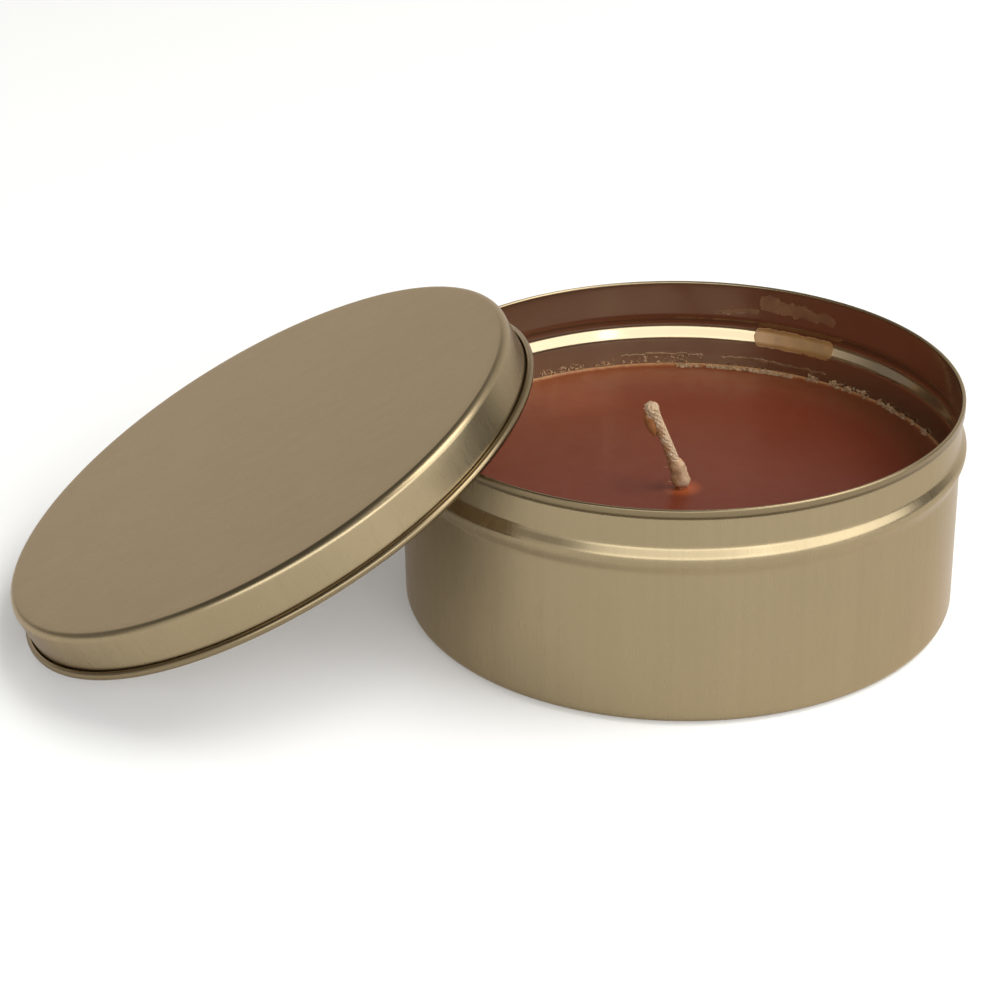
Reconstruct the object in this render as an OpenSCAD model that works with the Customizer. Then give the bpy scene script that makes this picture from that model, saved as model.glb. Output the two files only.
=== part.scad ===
// Round candle tin with its slip lid leaning on the rim.
// A drawn tinplate cup with a stop bead and a hemmed rim holds poured wax, and a
// braided wick that stands in a crimped tab stuck to the floor of the cup.
// Millimetres, +Z up. The origin is the centre of the foot, on the table.
// The lid leans towards -X: its low edge stands on the table, and its curl rests
// on the rim at two places.

/* [Tin body] */
// Outside diameter of the plain wall
tin_d = 90; // [75:0.5:120]
// Height of the rim above the table
tin_h = 36.5; // [30:0.5:60]
// Thickness of the tinplate of body and lid
sheet = 0.25; // [0.2:0.01:0.35]
// Outside radius of the corner between base and wall
base_corner = 2; // [1.2:0.1:4]
// Width of the foot ring that stands on the table
foot_w = 2.5; // [1.5:0.1:6]
// Height by which the floor inside the foot ring is pressed up
floor_lift = 0.6; // [0.4:0.05:1.2]

/* [Rim and stop bead] */
// Height of the edge folded out and down at the rim
hem_h = 1.5; // [0.8:0.05:2.5]
// Gap left inside the fold
hem_gap = 0.1; // [0.08:0.01:0.2]
// How far the bead stands proud of the wall
bead_out = 0.93; // [0.4:0.01:1.2]
// Height of the bead's flank above its crest
bead_upper = 2.4; // [1.5:0.1:4]
// Height of the bead's flank below its crest
bead_lower = 2.9; // [1.5:0.1:4]
// Drop from the lip of a closed lid to the crest of the bead
bead_drop = 0.65; // [0.2:0.05:2]

/* [Lid] */
// Height of the lid over its curl
lid_h = 7.9; // [6:0.1:12]
// Outside radius of the corner between panel and skirt
lid_corner = 1.25; // [0.8:0.05:3]
// Outside radius of the edge curled at the lip
curl_r = 0.68; // [0.5:0.02:0.9]
// Angle through which the edge is curled
curl_turn = 285; // [240:5:290]
// Gap all round between the hem and the skirt of a closed lid
lid_clearance = 0.25; // [0.1:0.05:0.6]

/* [Leaning lid] */
// Angle round the lid from its highest point to each place where it rests on the rim
rest_angle = 40; // [30:1:50]
// Gap between the curl and the rim where the lid rests
lean_gap = 0.35; // [0.2:0.05:1]

/* [Wax] */
// Height of the wax surface above the table
wax_level = 20.4; // [15:0.1:24]
// Gap between the wax and what it is poured around
wax_gap = 0.05; // [0.02:0.01:0.2]

/* [Wick] */
// Distance from the middle of the tin to the wick, towards -Y
wick_offset = 4.8; // [0:0.1:12]
// Diameter of the braid
wick_d = 2.2; // [1.2:0.1:3]
// Width of the braid at its trimmed end
wick_end_d = 2.5; // [1.5:0.1:3.5]
// Height of the trimmed end above the wax
wick_free = 14.3; // [5:0.1:16]
// Height above the wax at which the braid bends over
wick_bend = 1.2; // [0.8:0.1:3]
// Angle by which the free end leans towards -X
wick_lean = 19; // [0:1:30]

/* [Wick tab and pad] */
// Diameter of the tab and of the pad under it
tab_d = 20; // [12:0.5:30]
// Thickness of the tab's sheet
tab_sheet = 0.3; // [0.2:0.05:0.5]
// Height of the crimped neck over the tab's underside
neck_h = 6; // [3:0.5:10]
// Height and width of the flare between the tab and its neck
neck_flare = 0.8; // [0.3:0.1:2]
// Running gap between the neck and the braid
neck_gap = 0.03; // [0.02:0.01:0.1]
// Thickness of the sticky pad
pad_h = 0.8; // [0.5:0.1:1.6]

/* [Hidden] */

// Roundness of spun shapes, and steps along the arcs of their outlines
round_fn = 144;
arc_steps = 8;
bead_steps = 14;

// The sheets are drawn along their middle line
wall_r = (tin_d - sheet) / 2;
fold_r = (sheet + hem_gap) / 2;
hem_r = tin_d / 2 + hem_gap + sheet;
skirt_r = hem_r + lid_clearance + sheet / 2;
curl_mid_r = curl_r - sheet / 2;
curl_centre_r = skirt_r + curl_mid_r;
foot_r = tin_d / 2 - base_corner;
floor_r = foot_r - foot_w;

// A closed lid's panel sits on the rim, so its lip hangs at this height
closed_lip_z = tin_h + sheet - lid_h;
bead_z = closed_lip_z - bead_drop;

// The curl of the leaning lid touches the table at its low edge, and passes one gap
// above the rim at its two rests, which sets its tilt and how far out it stands
rim_top_r = wall_r + fold_r;
lean_rise = (tin_h + lean_gap) / (1 + cos(rest_angle));
lean_angle = asin(lean_rise / curl_centre_r);
rest_y = curl_centre_r * sin(rest_angle);
rest_x = -sqrt(rim_top_r * rim_top_r - rest_y * rest_y);
lean_x = rest_x - curl_centre_r * cos(rest_angle) * cos(lean_angle);
lean_z = curl_r + lean_rise;

// Heights of the stack that holds the wick
pad_z = floor_lift + sheet;
tab_z = pad_z + pad_h;
neck_r = wick_d / 2 + neck_gap + tab_sheet;
bend_z = wax_level + wick_bend;

// Points along an arc about (r, z), from angle a to angle b
function arc(r, z, radius, a, b) =
    [for (i = [0 : arc_steps])
        let (t = a + (b - a) * i / arc_steps)
        [r + radius * cos(t), z + radius * sin(t)]];

// Unit normal on the right-hand side of the step from p to q
function side(p, q) = let (d = q - p) [d[1], -d[0]] / norm(d);

// Mitred normal at point i of a path
function mitre(path, i) =
    let (last = len(path) - 1)
    let (before = side(path[max(i - 1, 0)], path[max(i, 1)]))
    let (after = side(path[min(i, last - 1)], path[min(i + 1, last)]))
    (before + after) / (1 + before * after);

// The path moved sideways by a distance, to its right where that is positive
function shifted(path, distance) =
    [for (i = [0 : len(path) - 1]) path[i] + mitre(path, i) * distance];

function reversed(path) = [for (i = [len(path) - 1 : -1 : 0]) path[i]];

// Middle line of the base: raised floor, step, foot ring and rounded corner
function base_path() = concat(
    [[0, floor_lift + sheet / 2]],
    [[floor_r - floor_lift, floor_lift + sheet / 2]],
    [[floor_r, sheet / 2]],
    arc(foot_r, base_corner, base_corner - sheet / 2, -90, 0));

// Middle line of the bead, a smooth swelling of the wall with unequal flanks
function bead_path() =
    [for (i = [-bead_steps : bead_steps])
        let (t = i / bead_steps)
        let (flank = t < 0 ? bead_lower : bead_upper)
        [wall_r + bead_out * (1 + cos(180 * t)) / 2, bead_z + flank * t]];

// Middle line of the rim, folded out over the top and down into the hem
function hem_path() = concat(
    arc(rim_top_r, tin_h - sheet / 2 - fold_r, fold_r, 180, 0),
    [[rim_top_r + fold_r, tin_h - hem_h]]);

// Middle line of the lid: panel, corner, skirt and curl, with the lip at height 0
function lid_path() = concat(
    [[0, lid_h - sheet / 2]],
    arc(skirt_r + sheet / 2 - lid_corner, lid_h - lid_corner, lid_corner - sheet / 2, 90, 0),
    arc(curl_centre_r, curl_r, curl_mid_r, 180, 180 + curl_turn));

// Sheet metal spun round the axis along its middle line
module spun_sheet(path) {
    rotate_extrude($fn = round_fn)
        polygon(concat(shifted(path, sheet / 2), reversed(shifted(path, -sheet / 2))));
}

// Places its children on the axis of the wick
module at_wick() {
    translate([0, -wick_offset, 0]) children();
}

// Outline of the tab, its flare and its neck, with a hole of radius bore, grown by g
module tab_profile(bore, g) {
    polygon([
        [bore, 0],
        [tab_d / 2 + g, 0],
        [tab_d / 2 + g, tab_sheet + g],
        [neck_r + neck_flare + g, tab_sheet + g],
        [neck_r + g, tab_sheet + neck_flare + g],
        [neck_r + g, neck_h + g],
        [bore, neck_h + g]]);
}

// Straight part of the braid, from the pad to the bend, with extra radius g
module wick_stem(g) {
    translate([0, 0, tab_z])
        cylinder(r = wick_d / 2 + g, h = bend_z - tab_z, $fn = 32);
}

module tin_body() {
    color([0.62, 0.55, 0.41])
        spun_sheet(concat(base_path(), bead_path(), hem_path()));
}

module lid() {
    color([0.66, 0.59, 0.45])
        translate([lean_x, 0, lean_z])
            rotate([0, -lean_angle, 0])
                translate([0, 0, -curl_r])
                    spun_sheet(lid_path());
}

// The wax follows the inside of the tin, and is cast round the wick's stack
module wax_fill() {
    wax_edge = shifted(base_path(), -sheet / 2 - wax_gap);
    wax_r = wall_r - sheet / 2 - wax_gap;
    color([0.52, 0.27, 0.21])
        difference() {
            rotate_extrude($fn = round_fn)
                polygon(concat(wax_edge, [[wax_r, wax_level], [0, wax_level]]));
            at_wick() {
                translate([0, 0, tab_z])
                    rotate_extrude($fn = 96) tab_profile(0, wax_gap);
                translate([0, 0, pad_z - pad_h])
                    cylinder(d = tab_d + 2 * wax_gap, h = 2 * pad_h + tab_sheet / 2, $fn = 96);
                wick_stem(wax_gap);
            }
        }
}

// The braid stands in the wax, bends just above it and leans
module wick() {
    color([0.86, 0.8, 0.66])
        at_wick() {
            wick_stem(0);
            translate([0, 0, bend_z]) {
                sphere(d = wick_d, $fn = 32);
                rotate([0, -wick_lean, 0])
                    cylinder(d1 = wick_d, d2 = wick_end_d,
                        h = (wick_free - wick_bend) / cos(wick_lean), $fn = 32);
            }
        }
}

module wick_tab() {
    color([0.72, 0.73, 0.74])
        at_wick() translate([0, 0, tab_z])
            rotate_extrude($fn = 96) tab_profile(wick_d / 2 + neck_gap, 0);
}

module adhesive_pad() {
    color([0.93, 0.92, 0.88])
        at_wick() translate([0, 0, pad_z])
            cylinder(d = tab_d, h = pad_h, $fn = 96);
}

tin_body();
lid();
wax_fill();
wick();
wick_tab();
adhesive_pad();
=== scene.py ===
# %% [markdown]
# # A candle tin with its lid off
#
# This lesson builds a round tinplate candle tin: a drawn cup, a slip lid that leans on
# its rim, poured wax and a waxed cotton wick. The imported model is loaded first, as a
# frame that is never moved. Each piece is then made in front of it, in metres, and tied
# to the body that it belongs to.

# %% Load the frame
import math

import bmesh
import bpy
import numpy as np
from mathutils import Matrix, Vector
from mathutils.noise import fractal


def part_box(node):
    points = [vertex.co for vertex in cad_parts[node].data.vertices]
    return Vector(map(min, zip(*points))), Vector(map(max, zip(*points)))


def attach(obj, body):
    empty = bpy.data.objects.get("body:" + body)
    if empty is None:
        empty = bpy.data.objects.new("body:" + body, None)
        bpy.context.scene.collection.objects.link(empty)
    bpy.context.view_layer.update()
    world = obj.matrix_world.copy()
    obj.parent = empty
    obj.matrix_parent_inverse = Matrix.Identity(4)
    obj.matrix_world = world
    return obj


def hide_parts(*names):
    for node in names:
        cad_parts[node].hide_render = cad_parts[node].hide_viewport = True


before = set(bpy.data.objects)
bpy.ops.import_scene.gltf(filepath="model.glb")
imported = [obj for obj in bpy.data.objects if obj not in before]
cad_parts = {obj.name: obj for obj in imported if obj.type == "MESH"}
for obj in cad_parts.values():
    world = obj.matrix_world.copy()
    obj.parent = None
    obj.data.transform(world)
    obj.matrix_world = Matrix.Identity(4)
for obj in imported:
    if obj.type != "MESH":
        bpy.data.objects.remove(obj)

scene = bpy.context.scene
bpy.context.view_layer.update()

# %% [markdown]
# ## The sizes of the tin
#
# A drawn tin is one sheet of even thickness, so every outline below is a middle line
# with half the sheet on each side. The heights and radii come from the frame where it
# holds them, and the rest are the sizes that the press tools would have.

# %% Driving sizes
MM = 0.001
SHEET = 0.25 * MM
tin_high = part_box("tin_body")[1]
wax_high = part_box("wax_fill")[1]
TIN_HEIGHT = tin_high.z
BEAD_OUT = 0.93 * MM
TIN_RADIUS = tin_high.x - BEAD_OUT
WAX_LEVEL = wax_high.z

BASE_CORNER = 2.0 * MM
FOOT_WIDTH = 2.5 * MM
FLOOR_LIFT = 0.6 * MM
HEM_HEIGHT = 1.5 * MM
HEM_GAP = 0.1 * MM
BEAD_UPPER = 2.4 * MM
BEAD_LOWER = 2.9 * MM
BEAD_DROP = 0.65 * MM
BEAD_BEND = 0.34

LID_HEIGHT = 7.9 * MM
LID_CORNER = 1.25 * MM
CURL_RADIUS = 0.68 * MM
CURL_TURN = 285.0
LID_CLEARANCE = 0.25 * MM
REST_ANGLE = math.radians(40.0)
LEAN_GAP = 0.35 * MM

WICK_OFFSET = 4.8 * MM
print("tin", round(TIN_RADIUS / MM, 2), "mm radius,", round(TIN_HEIGHT / MM, 2), "mm high")

# %% Sizes that follow from them
wall_r = TIN_RADIUS - SHEET / 2
inner_r = TIN_RADIUS - SHEET
fold_r = (SHEET + HEM_GAP) / 2
rim_r = wall_r + fold_r
skirt_r = TIN_RADIUS + HEM_GAP + SHEET + LID_CLEARANCE + SHEET / 2
curl_mid_r = CURL_RADIUS - SHEET / 2
curl_centre_r = skirt_r + curl_mid_r
bead_z = TIN_HEIGHT + SHEET - LID_HEIGHT - BEAD_DROP

lean_rise = (TIN_HEIGHT + LEAN_GAP) / (1 + math.cos(REST_ANGLE))
lean_angle = math.asin(lean_rise / curl_centre_r)
rest_y = curl_centre_r * math.sin(REST_ANGLE)
rest_x = -math.sqrt(rim_r**2 - rest_y**2)
lean_x = rest_x - curl_centre_r * math.cos(REST_ANGLE) * math.cos(lean_angle)
lean_z = CURL_RADIUS + lean_rise
lid_place = (
    Matrix.Translation((lean_x, 0, lean_z))
    @ Matrix.Rotation(-lean_angle, 4, "Y")
    @ Matrix.Translation((0, 0, -CURL_RADIUS))
)
print("the lid leans at", round(math.degrees(lean_angle), 2), "degrees")

# %% [markdown]
# ## The camera
#
# The camera looks down at the tin from the front through a long lens, with the lid on
# the left. It is placed by its direction and distance from a point low between the lid
# and the wick, and turned a little about its own line of sight.

# %% Camera
VIEW_TARGET = Vector((-29.2, 0.0, 17.2)) * MM
VIEW_AZIMUTH = math.radians(-3.27)
VIEW_ELEVATION = math.radians(26.4)
VIEW_DISTANCE = 415.1 * MM
VIEW_ROLL = math.radians(-1.06)
VIEW_LENS = 91.57


def place_camera():
    """Make the camera and aim it at the tin."""
    flat, rise = math.cos(VIEW_ELEVATION), math.sin(VIEW_ELEVATION)
    back = Vector((math.sin(VIEW_AZIMUTH) * flat, -math.cos(VIEW_AZIMUTH) * flat, rise))
    data = bpy.data.cameras.new("camera")
    data.lens = VIEW_LENS
    data.sensor_width = 36.0
    data.clip_start = 0.01
    camera = bpy.data.objects.new("camera", data)
    camera.matrix_world = (
        Matrix.Translation(VIEW_TARGET + back * VIEW_DISTANCE)
        @ (-back).to_track_quat("-Z", "Y").to_matrix().to_4x4()
        @ Matrix.Rotation(VIEW_ROLL, 4, "Z")
    )
    scene.collection.objects.link(camera)
    scene.camera = camera
    print("camera at", [round(value / MM) for value in camera.location], "mm")


place_camera()

# %% [markdown]
# ## A helper for node trees
#
# Materials, the surround and the Geometry Nodes trees are all built in this script. One
# small class keeps that short: it adds a node and links or sets its inputs in order.

# %% Node helper
FAMILIES = ("ShaderNode", "GeometryNode", "FunctionNode", "")


class Nodes:
    """A short way to add and link nodes in one tree."""

    def __init__(self, tree):
        self.tree = tree

    def add(self, kind, *links, **settings):
        """Add a node by its kind, apply settings to it, and link or set its inputs in order."""
        kind = next(family + kind for family in FAMILIES if hasattr(bpy.types, family + kind))
        node = self.tree.nodes.new(kind)
        for name, value in settings.items():
            setattr(node, name, value)
        for index, source in enumerate(links):
            if source is not None:
                self.feed(node, index, source)
        return node

    def feed(self, node, socket, source):
        """Link source to an input if it is a socket or a node, or else set the value."""
        target = node.inputs[socket]
        if isinstance(source, bpy.types.Node):
            source = source.outputs[0]
        if isinstance(source, bpy.types.NodeSocket):
            self.tree.links.new(source, target)
        else:
            target.default_value = source

    def math(self, operation, *links):
        """A math node."""
        return self.add("Math", *links, operation=operation)

    def plus(self, a, b):
        """a + b."""
        return self.math("ADD", a, b)

    def minus(self, a, b):
        """a - b."""
        return self.math("SUBTRACT", a, b)

    def times(self, a, b):
        """a * b."""
        return self.math("MULTIPLY", a, b)

    def over(self, a, b):
        """a / b."""
        return self.math("DIVIDE", a, b)

    def vector(self, operation, *links):
        """A vector math node."""
        return self.add("VectorMath", *links, operation=operation)

    def parts(self, vector):
        """The X, Y and Z of a vector."""
        return self.add("SeparateXYZ", vector).outputs

    def xyz(self, *links):
        """A vector from X, Y and Z."""
        return self.add("CombineXYZ", *links)

    def measure(self, operation, *links):
        """A vector math node's number."""
        return self.vector(operation, *links).outputs["Value"]

    def stretched(self, vector, length):
        """A vector multiplied by a number."""
        node = self.vector("SCALE", vector)
        self.feed(node, "Scale", length)
        return node


def ranged(n, source, low, high, out_low=0.0, out_high=1.0):
    """source carried from one range to another, and kept inside it."""
    return n.add("MapRange", source, low, high, out_low, out_high)


# %% [markdown]
# ## Floor and studio light
#
# Satin metal shows mostly what stands round it, so the light matters as much as the
# metal. A pale floor fills the front of the wall. Two strip lights side by side in front
# draw the bright line along the bead, and a dimmer surround overhead keeps the panel of
# the lid calm. Two gaps in the surround leave soft dark bands on the curved metal, as the
# spaces between studio screens do.

# %% Floor
FLOOR_SIZE = 6.0
FLOOR_GLOW = 0.15


def grid_floor():
    """A large flat sheet under the tin."""
    mesh = bpy.data.meshes.new("floor")
    half = FLOOR_SIZE / 2
    corners = [(-half, -half, 0), (half, -half, 0), (half, half, 0), (-half, half, 0)]
    mesh.from_pydata(corners, [], [(0, 1, 2, 3)])
    floor = bpy.data.objects.new("floor", mesh)
    scene.collection.objects.link(floor)
    material = bpy.data.materials.new("pale_floor")
    material.use_nodes = True
    inputs = material.node_tree.nodes["Principled BSDF"].inputs
    inputs["Base Color"].default_value = (0.80, 0.80, 0.79, 1)
    inputs["Roughness"].default_value = 0.9
    inputs["Emission Color"].default_value = (1, 1, 1, 1)
    inputs["Emission Strength"].default_value = FLOOR_GLOW
    mesh.materials.append(material)


grid_floor()

# %% Lights


def soft_box(name, place, aim, width, depth, watts, colour):
    """A rectangular area light at place, shining at aim."""
    data = bpy.data.lights.new(name, "AREA")
    data.shape = "RECTANGLE"
    data.size = width
    data.size_y = depth
    data.energy = watts
    data.color = colour
    light = bpy.data.objects.new(name, data)
    line = Vector(aim) - Vector(place)
    light.location = place
    light.rotation_euler = line.to_track_quat("-Z", "Y").to_euler()
    scene.collection.objects.link(light)


WARM_WHITE = (1.0, 0.985, 0.955)
COOL_WHITE = (0.93, 0.97, 1.0)
HORIZON = 1.0
UPPER_LEFT = 0.15
UPPER_RIGHT = 0.7
SIDE_TO_SIDE = (-0.25, 0.35)
OVERHEAD = (0.33, 0.58)
LEFT_GAP = ((-0.927, 0.375, 0.0), 0.74, 0.92, 0.34)
RIGHT_GAP = ((0.994, 0.10, 0.03), 0.90, 0.985, 0.0)


def gap(n, direction, middle, start, end, level):
    """A soft dim patch of the surround about one direction."""
    towards = n.measure("DOT_PRODUCT", direction, middle)
    return ranged(n, towards, start, end, 1.0, level)


def surround():
    """A pale surround: bright horizon, dim overhead on the left, and two gaps between screens."""
    world = bpy.data.worlds.new("studio")
    world.use_nodes = True
    n = Nodes(world.node_tree)
    direction = n.add("TexCoord").outputs["Generated"]
    parts = n.parts(direction)
    upper = ranged(n, parts["X"], *SIDE_TO_SIDE, UPPER_LEFT, UPPER_RIGHT)
    height = ranged(n, parts["Z"], *OVERHEAD, HORIZON, upper)
    left = gap(n, direction, *LEFT_GAP)
    right = gap(n, direction, *RIGHT_GAP)
    background = world.node_tree.nodes["Background"]
    n.feed(background, "Color", (*WARM_WHITE, 1))
    n.feed(background, "Strength", n.times(height, n.times(left, right)))
    scene.world = world


surround()

# %% Strip lights and top light
STRIP_DISTANCE = 1.2
STRIP_RISE = math.radians(25)
STRIP_SIZE = (1.5, 0.56)
STRIP_WATTS = 7.6
STRIPS = {"front_strip": -8, "side_strip": 57}
TOP_PLACE = (0.75, -0.2, 1.25)
TOP_SIZE = 0.9
TOP_WATTS = 13

for name, turn in STRIPS.items():
    turn = math.radians(turn)
    flat = STRIP_DISTANCE * math.cos(STRIP_RISE)
    place = (flat * math.sin(turn), -flat * math.cos(turn), STRIP_DISTANCE * math.sin(STRIP_RISE))
    soft_box(name, place, (0, 0, 0.02), *STRIP_SIZE, STRIP_WATTS, COOL_WHITE)
soft_box("top_box", TOP_PLACE, (0, 0, 0), TOP_SIZE, TOP_SIZE, TOP_WATTS, WARM_WHITE)
scene.view_settings.view_transform = "Standard"

# %% [markdown]
# ## Outlines of drawn sheet metal
#
# A press draws a tin from one flat disc, so its section is a single line: raised floor,
# foot, corner, wall, bead and folded rim. A short path of points gives that line, and
# moving it half a sheet to each side gives the metal its thickness, hem and curl
# included. Bending a thickened plane would pinch the tight folds, so the outline is
# made exact here and spun afterwards.

# %% Outline helpers
ARC_STEPS = 14
BEAD_STEPS = 26
STRAIGHT_STEP = 1.5 * MM


def arc(r, z, radius, start, end, steps=ARC_STEPS):
    """Points along an arc about (r, z), with its angles in degrees."""
    angles = np.radians(np.linspace(start, end, steps + 1))
    return [(r + radius * math.cos(a), z + radius * math.sin(a)) for a in angles]


def sides(path):
    """The mitred normal at each point, on the right-hand side of the path."""
    points = np.array(path)
    steps = np.diff(points, axis=0)
    steps /= np.linalg.norm(steps, axis=1)[:, None]
    normals = np.c_[steps[:, 1], -steps[:, 0]]
    before = np.vstack([normals[:1], normals])
    after = np.vstack([normals, normals[-1:]])
    return (before + after) / (1 + (before * after).sum(axis=1))[:, None]


def divided(path):
    """The path with points added so that no straight stretch is longer than one step."""
    result = [path[0]]
    for p, q in zip(path, path[1:]):
        count = max(1, math.ceil(math.dist(p, q) / STRAIGHT_STEP))
        result += [tuple(np.array(p) + (np.array(q) - p) * i / count) for i in range(1, count + 1)]
    return result


def sheet_outline(path):
    """The outline of the sheet round its middle line, out along one side and back."""
    points, normals = np.array(path), sides(path)
    outside = points + normals * SHEET / 2
    inside = points - normals * SHEET / 2
    return np.vstack([outside, inside[::-1]])


# %% Outlines of the body and the lid


def bead_radius(z):
    """Middle radius of the wall at height z: a bead with straight flanks and rounded bends."""
    flank = BEAD_LOWER if z < bead_z else BEAD_UPPER
    t = min(abs(z - bead_z) / flank, 1)
    slope = 1 / (1 - BEAD_BEND)
    if t < BEAD_BEND:
        share = 1 - slope * t**2 / (2 * BEAD_BEND)
    elif t < 1 - BEAD_BEND:
        share = 1 - slope * (t - BEAD_BEND / 2)
    else:
        share = slope * (1 - t) ** 2 / (2 * BEAD_BEND)
    return wall_r + BEAD_OUT * share


def body_path():
    """Middle line of the body, from the middle of its floor to the end of its hem."""
    foot = TIN_RADIUS - BASE_CORNER
    lifted = foot - FOOT_WIDTH
    base = [(0, FLOOR_LIFT + SHEET / 2)]
    base += [(lifted - FLOOR_LIFT, FLOOR_LIFT + SHEET / 2), (lifted, SHEET / 2)]
    base += arc(foot, BASE_CORNER, BASE_CORNER - SHEET / 2, -90, 0)
    steps = np.arange(-BEAD_STEPS, BEAD_STEPS + 1) / BEAD_STEPS
    heights = [bead_z + t * (BEAD_LOWER if t < 0 else BEAD_UPPER) for t in steps]
    bead = [(bead_radius(z), z) for z in heights]
    hem = arc(rim_r, TIN_HEIGHT - SHEET / 2 - fold_r, fold_r, 180, 0)
    return base + bead + hem + [(rim_r + fold_r, TIN_HEIGHT - HEM_HEIGHT)]


def lid_path():
    """Middle line of the lid, from the middle of its panel to the end of its curl."""
    corner_r = skirt_r + SHEET / 2 - LID_CORNER
    panel = [(0, LID_HEIGHT - SHEET / 2)]
    corner = arc(corner_r, LID_HEIGHT - LID_CORNER, LID_CORNER - SHEET / 2, 90, 0)
    curl = arc(curl_centre_r, CURL_RADIUS, curl_mid_r, 180, 180 + CURL_TURN, 2 * ARC_STEPS)
    return panel + corner + curl


body_outline = sheet_outline(divided(body_path()))
lid_outline = sheet_outline(divided(lid_path()))
print("outline points:", len(body_outline), "for the body,", len(lid_outline), "for the lid")

# %% [markdown]
# ## Spinning an outline with Geometry Nodes
#
# Body, lid and wax are all turned shapes, so one node tree spins all three. It lays out
# a flat grid with one column for each step round the axis, and one row for each point of
# the outline, moves every grid point to its place, and joins the seam and the poles.
# Drawn sheet is never perfectly even, so the tree can also add a faint swell that makes
# reflections wander as they do on real tinplate.

# %% The spinning tree
MERGE_DISTANCE = 1e-6
ROUND_STEPS = 360
SWELL = 0.03 * MM
SWELL_SCALE = 45.0


def geometry_tree(title, start, **sockets):
    """An empty tree with a geometry input, inputs listed by kind, and an input for the finish."""
    tree = bpy.data.node_groups.new(title, "GeometryNodeTree")
    for kind, names in {"Geometry": [start], **sockets, "Material": ["Finish"]}.items():
        for name in names:
            tree.interface.new_socket(name=name, in_out="INPUT", socket_type="NodeSocket" + kind)
    tree.interface.new_socket(name="Geometry", in_out="OUTPUT", socket_type="NodeSocketGeometry")
    n = Nodes(tree)
    return n, n.add("NodeGroupInput").outputs


def finished(n, geometry, finish):
    """Make the instances real, set the material, and return the tree."""
    real = n.add("RealizeInstances", geometry)
    n.add("NodeGroupOutput", n.add("SetMaterial", real, None, finish))
    return n.tree


def spin_tree():
    """The tree that spins an outline about the Z axis."""
    floats = ["Swell", "Swell Scale"]
    n, given = geometry_tree("Spin an outline", "Outline", Int=["Segments"], Float=floats)
    count = n.add("AttributeDomainSize", given["Outline"]).outputs["Point Count"]
    columns = n.plus(given["Segments"], 1.0)
    grid = n.add("MeshGrid", 1.0, 1.0, columns, count)

    index = n.add("InputIndex")
    column = n.math("FLOOR", n.over(index, count))
    row = n.minus(index, n.times(column, count))
    angle = n.over(n.times(column, 2 * math.pi), given["Segments"])

    place = n.add("InputPosition")
    point = n.add("SampleIndex", given["Outline"], place, row, data_type="FLOAT_VECTOR")
    run_name = n.add("InputNamedAttribute", "run", data_type="FLOAT")
    run = n.add("SampleIndex", given["Outline"], run_name, row, data_type="FLOAT")
    point_run = n.add("FieldOnDomain", run, data_type="FLOAT", domain="POINT")
    radius, _, height = n.parts(point)
    cos, sin = n.math("COSINE", angle), n.math("SINE", angle)

    def around(reach):
        return n.xyz(n.times(reach, cos), n.times(reach, sin), height)

    uneven = n.add("TexNoise", around(radius), None, given["Swell Scale"], 1.0)
    lift = n.times(n.minus(uneven.outputs[0], 0.5), given["Swell"])
    near_axis = n.math("MINIMUM", n.times(radius, 100.0), 1.0)
    swollen = n.plus(radius, n.times(lift, near_axis))

    surface = n.xyz(n.parts(grid.outputs["UV Map"])["X"], point_run)
    moved = n.add("SetPosition", grid, None, around(swollen))
    stored = n.add("StoreNamedAttribute", moved, None, "surface", surface,
                   data_type="FLOAT2", domain="CORNER")
    joined = n.add("MergeByDistance", stored, None, MERGE_DISTANCE)
    smooth = n.add("SetShadeSmooth", joined)
    return finished(n, smooth, given["Finish"])


SPIN = spin_tree()

# %% Running a tree and keeping its mesh


def baked_mesh(source, tree, values):
    """Run a tree on source, and return the finished plain mesh."""
    holder = bpy.data.objects.new("holder", source)
    scene.collection.objects.link(holder)
    modifier = holder.modifiers.new("tree", "NODES")
    modifier.node_group = tree
    for socket in tree.interface.items_tree:
        if socket.in_out == "INPUT" and socket.name in values:
            modifier[socket.identifier] = values[socket.name]
    depsgraph = bpy.context.evaluated_depsgraph_get()
    mesh = bpy.data.meshes.new_from_object(holder.evaluated_get(depsgraph), depsgraph=depsgraph)
    bpy.data.objects.remove(holder)
    return mesh


def face_outwards(mesh):
    """Turn the faces of a closed mesh so that its volume is positive, and return it."""
    shape = bmesh.new()
    shape.from_mesh(mesh)
    if shape.calc_volume(signed=True) < 0:
        bmesh.ops.reverse_faces(shape, faces=shape.faces[:])
    volume = shape.calc_volume(signed=True)
    shape.to_mesh(mesh)
    shape.free()
    return volume


def closed_mesh(name, points, around, finish):
    """A smooth closed mesh through rings of points, with a cap at each end."""
    last = len(points) - around
    faces = [list(range(around))[::-1], list(range(last, len(points)))]
    for below in range(0, last, around):
        for i in range(around):
            j = (i + 1) % around
            faces.append((below + i, below + j, below + around + j, below + around + i))
    mesh = bpy.data.meshes.new(name)
    mesh.from_pydata(points, [], faces)
    face_outwards(mesh)
    mesh.shade_smooth()
    mesh.materials.append(finish)
    return mesh


def chain(count):
    """The edges that join points in a row."""
    return [(i, i + 1) for i in range(count - 1)]


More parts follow.
